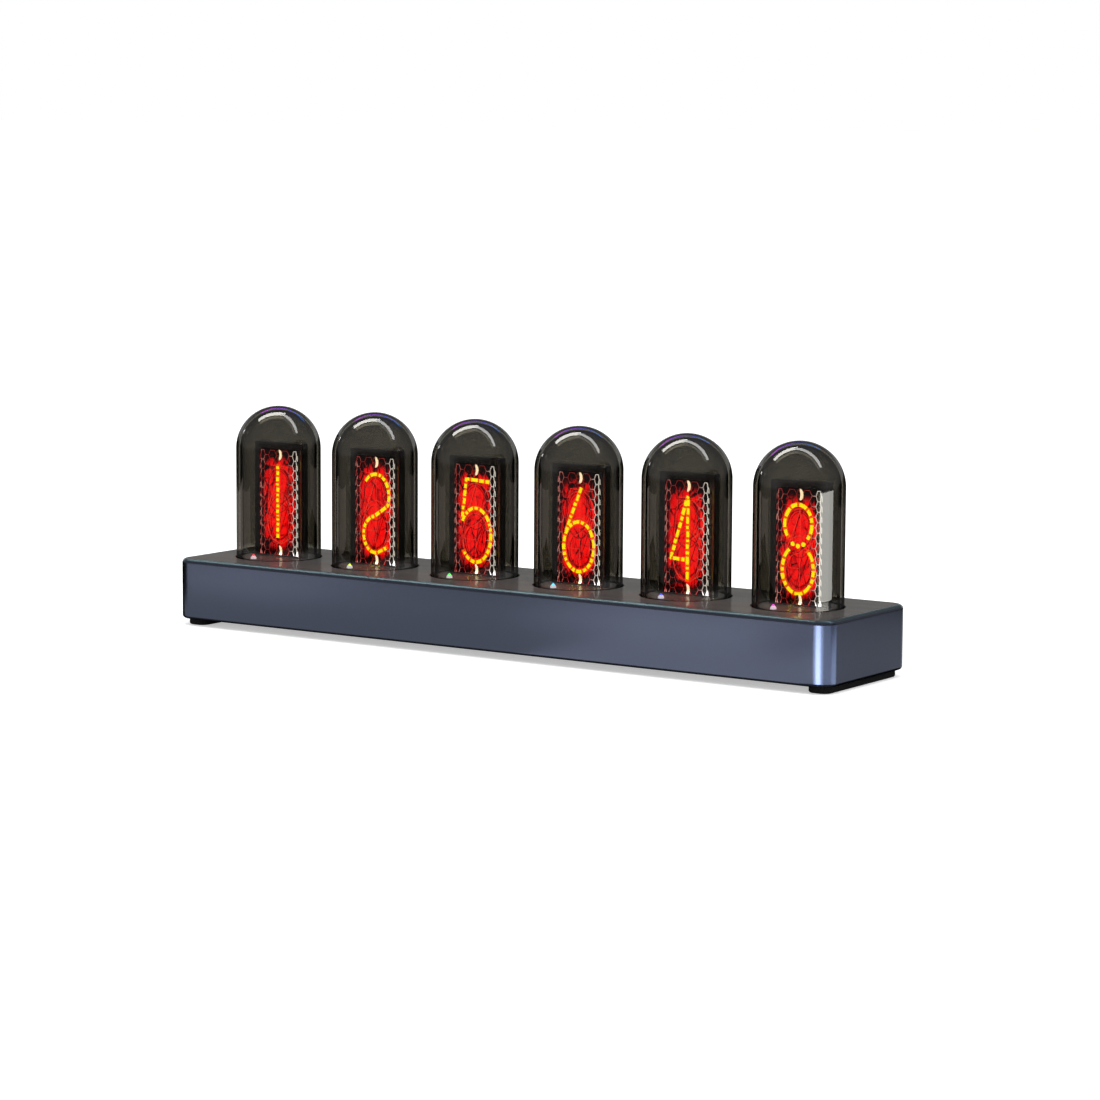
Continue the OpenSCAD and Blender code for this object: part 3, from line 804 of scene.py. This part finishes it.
def mesh_finish():
    mesh = Finish("lit_mesh")
    turn = across_tube(mesh) / mesh_radius
    right = turn.ramp(0.45, 0.9)
    left = (0 - turn).ramp(0.6, 0.95)
    spark = mesh.noise(0.9 * mm, 2.0).ramp(0.42, 0.6)
    colour = mesh.mix(right, tint(164, 6, 12), tint(226, 226, 232))
    colour = mesh.mix(left * spark, colour, tint(236, 150, 150))
    return mesh.done(
        mesh.coat(
            Base_Color=tint(120, 120, 124),
            Roughness=0.4 + 0.1 * spark,
            Emission_Color=mesh.mix(0.35 * spark * right, colour, tint(255, 255, 255)),
            Emission_Strength=0.8 * through_glass,
        )
    )


def ring_finish():
    ring = Finish("end_rings")
    lit = across_tube(ring).ramp(-0.1 * mm, 0.35 * mm)
    grain = ring.noise(0.4 * mm)
    return ring.done(
        ring.coat(
            Base_Color=ring.mix(lit, tint(60, 20, 10), tint(240, 226, 200)),
            Roughness=0.4 + 0.1 * grain,
            Emission_Color=ring.mix(lit, tint(92, 26, 10), tint(255, 236, 206)),
            Emission_Strength=through_glass,
        )
    )


ring_half_w = 0.92 * mm
ring_half_h = 1.55 * mm
ring_heights = (1.9 * mm, 36.2 * mm)
ring_steps = 24
mesh_light = mesh_finish()
ring_light = ring_finish()
for i in tubes:
    mesh_piece = wires(f"hexagon_mesh_{i}", mesh_lines(i), screen_y - 0.28 * mm, 0.5, mesh_light, sides=0)
    rings = []
    for height in ring_heights:
        ring = []
        for k in range(ring_steps + 1):
            angle = math.radians(360 * k / ring_steps)
            x = tube_x[i] - 0.1 * mm + ring_half_w * math.cos(angle)
            z = plate_top + height + ring_half_h * math.sin(angle)
            ring.append((x, z, (0.36 + 0.2 * math.cos(angle)) * mm))
        rings.append(ring)
    ring_piece = wires(f"end_rings_{i}", rings, screen_y - 0.22 * mm, 0.4, ring_light)


# Glass bells: blown from smoked glass, closed at the top with a half sphere, 1.4 mm thick.
# Each stands on its seal in a routed ring, and nothing else holds it.
bell_low, bell_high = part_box("glass_dome_1")
bell_radius = (bell_high.x - bell_low.x) / 2
bell_wall = 1.4 * mm
bell_y = (bell_low.y + bell_high.y) / 2
shoulder = bell_high.z - bell_radius
wall_steps = 6


def smoked_glass():
    glass = Finish("smoked_glass")
    facing = glass.node("LayerWeight", values={"Blend": 0.5}, output="Facing")
    open_way = glass.node("BsdfTransparent", values={"Color": (0.95, 0.95, 0.95, 1)})
    clear = glass.node("BsdfTransparent", values={"Color": (0.93, 0.925, 0.91, 1)})
    smoked = glass.node("BsdfTransparent", values={"Color": (0.425, 0.41, 0.368, 1)})
    deep = glass.node("BsdfTransparent", values={"Color": (0.03, 0.027, 0.02, 1)})
    smoke = glass.z.ramp(plate_top + 1.6 * mm, plate_top + 4 * mm)
    tinted = glass.node("MixShader", values={0: smoke, 1: clear, 2: smoked})
    limb = 0.75 * facing ** 2 + 0.42 * facing.ramp(0.55, 0.7)
    tinted = glass.node("MixShader", values={0: limb, 1: tinted, 2: deep})
    shadow, diffuse = (glass.node("LightPath", output=f"Is {kind} Ray") for kind in ("Shadow", "Diffuse"))
    light = shadow.math("MAXIMUM", shadow, diffuse)
    tinted = glass.node("MixShader", values={0: light, 1: tinted, 2: open_way})
    shine = glass.node("BsdfGlossy", values={"Color": (1, 1, 1, 1), "Roughness": 0.0})
    gloss = 0.09 + 0.06 * facing ** 4
    return glass.done(glass.node("MixShader", values={0: gloss, 1: tinted, 2: shine}))


bpy.ops.object.select_all(action="DESELECT")
bpy.ops.mesh.primitive_uv_sphere_add(
    segments=96, ring_count=64, radius=bell_radius, location=(0, bell_y, shoulder)
)
bell = bpy.context.object
bpy.ops.object.transform_apply(location=True)
bpy.ops.object.mode_set(mode="EDIT")
bpy.ops.mesh.select_all(action="SELECT")
bpy.ops.mesh.bisect(plane_co=(0, bell_y, shoulder), plane_no=(0, 0, 1), clear_inner=True)
for k in range(wall_steps):
    foot = shoulder - (shoulder - bell_low.z) * k / wall_steps
    choose("edges", lambda middle: middle.z < foot + 0.001 * mm)
    bpy.ops.mesh.extrude_region_move(
        TRANSFORM_OT_translate={"value": (0, 0, -(shoulder - bell_low.z) / wall_steps)}
    )
bpy.ops.object.mode_set(mode="OBJECT")
thick = bell.modifiers.new("wall", "SOLIDIFY")
thick.thickness = bell_wall
thick.offset = -1
thick.use_even_offset = True
bpy.ops.object.modifier_apply(modifier="wall")
round_foot = bell.modifiers.new("foot", "BEVEL")
round_foot.width = 0.3 * mm
round_foot.segments = 3
round_foot.limit_method = "ANGLE"
bpy.ops.object.modifier_apply(modifier="foot")
bpy.ops.object.shade_smooth_by_angle(angle=math.radians(30))
bell.data.materials.append(smoked_glass())
for i in tubes:
    copy = bpy.data.objects.new(f"smoked_bell_{i}", bell.data.copy())
    bpy.context.collection.objects.link(copy)
    copy.data.transform(Matrix.Translation((tube_x[i], 0, 0)))
    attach(copy, "base")
    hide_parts(f"glass_dome_{i}")
bpy.data.objects.remove(bell)


# Push buttons: turned aluminium caps in the rear wall, anodised like the base, each on the red
# plunger of a small switch that springs it back.
dish_radius = 1.6 * mm
dish_edge = 2.4 * mm


def turned_cap(name):
    low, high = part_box(name)
    cap = Finish(name)
    across = cap.x - (low.x + high.x) / 2
    up = cap.z - (low.z + high.z) / 2
    reach = (across ** 2 + up ** 2) ** 0.5
    rings = (reach / (0.025 * mm)).sine()
    dish = reach.ramp(dish_radius, dish_edge)
    return cap.done(
        cap.coat(
            Base_Color=cap.mix(dish, tint(76, 82, 98), tint(100, 108, 128)),
            Metallic=1.0,
            Roughness=0.3 + 0.05 * rings,
            Normal=cap.bump(rings + 20 * dish, 0.004 * mm),
        )
    )


button_names = ("power", "mode", "left", "right")
for name in button_names:
    dress(turned_cap(f"button_{name}"), f"button_{name}")
dress(
    matt("plunger_plastic", (150, 36, 28), 0.4, 0.3 * mm, 0.01 * mm),
    *(f"switch_plunger_{name}" for name in button_names),
)


# Studio: a white table and backdrop, even light from all round, and a few cards that only show
# as reflections in the glass and the metal.
def light_world():
    world = bpy.data.worlds.new("studio")
    bpy.context.scene.world = world
    sky = Finish("studio", world)
    camera_ray, glossy_ray, clear_ray = (
        sky.node("LightPath", output=f"Is {kind} Ray") for kind in ("Camera", "Glossy", "Transmission")
    )
    direction = sky.node("TexCoord", output="Generated")
    rise = sky.node("SeparateXYZ", values={0: direction}, output="Z")
    ahead = sky.node(
        "VectorMath",
        {"operation": "DOT_PRODUCT"},
        {0: direction, 1: (-math.sin(camera_turn), math.cos(camera_turn), 0.0)},
        output="Value",
    )
    # The room is an even grey, dark behind the camera and low ahead, with a pale backdrop above the table.
    flat = 1 - rise.ramp(0.12, 0.5)
    behind_camera = (0 - ahead).ramp(0.35, 0.8) * flat
    low_ahead = ahead.ramp(0.2, 0.6) * (1 - rise.ramp(0.0, 0.1))
    backdrop = ahead.ramp(0.6, 0.95) * rise.ramp(0.02, 0.06) * (1 - rise.ramp(0.2, 0.34))
    above = 0.4 + 0.6 * rise.ramp(-0.1, 0.05)
    room = 0.22 * (1 - behind_camera) * (1 - low_ahead) * above + 0.04 * behind_camera + backdrop
    seen = camera_ray.math("MAXIMUM", camera_ray, clear_ray)
    level = seen + (1 - seen) * (glossy_ray * room + (1 - glossy_ray) * 0.85)
    sky.done(sky.node("Background", values={"Color": (1, 1, 1, 1), "Strength": level}), "OutputWorld")


light_world()

bpy.ops.object.select_all(action="DESELECT")
bpy.ops.mesh.primitive_plane_add(size=30)
table = bpy.context.object
table.name = "table"
table.data.transform(Matrix.Translation((0, 0, -0.05 * mm)))
white = Finish("white_table")
fleck = white.noise(40 * mm)
paint = white.coat(
    Base_Color=white.mix(fleck, tint(240, 240, 240), tint(246, 246, 246)),
    Roughness=0.9,
    Specular_IOR_Level=0.0,
)
bright = white.node("Emission", values={"Color": (1, 1, 1, 1), "Strength": 0.46})
unlit = white.node("Emission", values={"Color": (0, 0, 0, 1), "Strength": 0.0})
seen = white.node("LightPath", output="Is Camera Ray")
seen = seen.math("MAXIMUM", seen, white.node("LightPath", output="Is Transmission Ray"))
lift = white.node("MixShader", values={0: seen, 1: unlit, 2: bright})
table.data.materials.append(white.done(white.node("AddShader", values={0: paint, 1: lift})))
table.visible_glossy = False

lamp_tilt = (math.radians(18), math.radians(12), 0)
bpy.ops.object.light_add(type="AREA", location=(0.3, -0.5, 1.4), rotation=lamp_tilt)
lamp = bpy.context.object
lamp.data.size = 1.2
lamp.data.energy = 9.0
lamp.visible_glossy = False


# A card that would spoil the other surface is linked to the glass bells alone or to the metal alone.
glass_only = bpy.data.collections.new("sees_glass_cards")
metal_only = bpy.data.collections.new("sees_metal_cards")
for i in tubes:
    glass_only.objects.link(bpy.data.objects[f"smoked_bell_{i}"])
for name in ("base_shell_rounded", *(f"button_{name}" for name in button_names)):
    metal_only.objects.link(bpy.data.objects.get(name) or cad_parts[name])


def card(name, middle, along, up, width, height, colour, strength, seen_by=None):
    """A glowing card, width long the one way and height the other, that shows only in reflections."""
    bpy.ops.object.select_all(action="DESELECT")
    bpy.ops.mesh.primitive_plane_add(size=1)
    piece = bpy.context.object
    piece.name = name
    along = Vector(along).normalized()
    normal = along.cross(Vector(up)).normalized()
    turn = Matrix((along, normal.cross(along), normal)).transposed().to_4x4()
    piece.data.transform(Matrix.Translation(middle) @ turn @ Matrix.Diagonal((width, height, 1, 1)))
    glow = Finish(name)
    piece.data.materials.append(
        glow.done(glow.node("Emission", values={"Color": tint(*colour), "Strength": strength}))
    )
    for rays in ("camera", "diffuse", "transmission", "shadow", "volume_scatter"):
        setattr(piece, "visible_" + rays, False)
    if seen_by:
        piece.light_linking.receiver_collection = seen_by
    return piece


def towards(azimuth, elevation, distance, start=(0, 0, 0.04)):
    """A place seen in that direction: azimuth 0 is the front, 90 the right-hand end."""
    a, e = math.radians(azimuth), math.radians(elevation)
    way = Vector((math.sin(a) * math.cos(e), -math.cos(a) * math.cos(e), math.sin(e)))
    return Vector(start) + distance * way


ahead = Vector((-math.sin(camera_turn), math.cos(camera_turn), 0))
aside = Vector((math.cos(camera_turn), math.sin(camera_turn), 0))
up = Vector((0, 0, 1))
strip_rise = 0.9
tube_middle = Vector((0, 0, 0.06))
overhead = tube_middle + strip_rise * (up + 0.48 * ahead - 0.4 * aside)
length, width = 0.95 * strip_rise, 0.28 * strip_rise
card("overhead_strip", overhead, aside, ahead, length, width, (255, 253, 244), 8)
sideways = -0.61 * ahead + 0.79 * aside
overhead = tube_middle + strip_rise * (up + 0.045 * ahead + 0.54 * aside)
length, width = 1.4 * strip_rise, 0.16 * strip_rise
card("overhead_strip_right", overhead, sideways, ahead, length, width, (240, 240, 240), 5)

# A card past the right-hand end makes the tall pale strip in the last bell, and a small far one makes
# the glint at the left of each bell.
along_depth = Vector((0, 1, 0))
side_place = Vector((0.237, 0.0225, 0.0195))
side_width, side_height = 0.095, 0.064
card("side_card", side_place, along_depth, up, side_width, side_height, (240, 240, 234), 4, glass_only)
glint_size = 0.07
glint_place = towards(-93, 16.5, 1.0)
card("left_spot", glint_place, along_depth, up, glint_size, glint_size, (255, 255, 255), 7, glass_only)

# Low panels and coloured lights behind, as the glass sees them: azimuth, spread in degrees and strength.
panel_low, panel_high = -0.3, -0.05
room_panels = [(-102, 48, 0.9), (-62, 26, 0.42), (158, 40, 0.28)]
for k, (azimuth, spread, level) in enumerate(room_panels):
    place = towards(azimuth, 0, 1.0, (0, 0, (panel_low + panel_high) / 2))
    width, depth = 2 * math.tan(math.radians(spread / 2)), panel_high - panel_low
    card(f"room_panel_{k}", place, place.cross(up), up, width, depth, (232, 218, 208), level, glass_only)
sheen_width, sheen_height = 0.29, 0.11
sheen_colours = [(150, 50, 180), (120, 50, 190), (60, 60, 170), (30, 80, 150)]
for k, colour in enumerate(sheen_colours):
    place = towards(-124 - 16 * k, 35 + k, 1.0)
    card(f"rear_card_{k}", place, place.cross(up), up, sheen_width, sheen_height, colour, 10, glass_only)

# The table round the clock, as the metal sees it: darker close in, where the clock shades it.
# Each part of it has its middle, its width and depth, and its strength.
for name, x, y, width, depth, level in (
    ("table_near_left", -0.09, -0.065, 0.2, 0.07, 0.55),
    ("table_near_right", 0.065, -0.065, 0.11, 0.07, 0.95),
    ("table_left", -0.2, -0.15, 0.12, 0.1, 1.2),
    ("table_middle", -0.09, -0.15, 0.1, 0.1, 0.75),
    ("table_right", 0.01, -0.15, 0.1, 0.1, 1.4),
    ("table_end", 0.2, 0.06, 0.126, 0.2, 0.42),
    ("table_back", -0.03, 0.16, 0.34, 0.26, 0.8),
):
    card(name, (x, y, 0.3 * mm), (1, 0, 0), (0, 1, 0), width, depth, (248, 250, 253), level, metal_only)

# Light from three directions on the upright corner at the right, as wedges that start under it.
# The first two share a direction: a broad soft light with a narrow bright one in its middle.
wedge_long = 0.2
wedge_start = 0.012
corner = Vector((base_high.x - 3 * mm, base_low.y + 3 * mm, 0.4 * mm))
corner_colour = (225, 236, 255)
corner_lights = [(8, 60, 3.4), (8, 30, 10), (66, 56, 1.4), (114, 38, 2.3)]
for k, (azimuth, spread, level) in enumerate(corner_lights):
    way = towards(azimuth, 0, 1.0, (0, 0, 0))
    foot = corner + Vector((0, 0, 0.02 * mm * k))
    place = foot + wedge_long / 2 * way
    width = 2 * wedge_long * math.tan(math.radians(spread / 2))
    sides = way.cross(up)
    wedge = card(f"corner_card_{k}", place, sides, way, width, wedge_long, corner_colour, level, metal_only)
    for vertex in wedge.data.vertices:
        reach = (vertex.co - foot).dot(way)
        if reach < wedge_long / 2:
            offset = vertex.co - foot - reach * way
            vertex.co = foot + wedge_start * way + offset * wedge_start / wedge_long
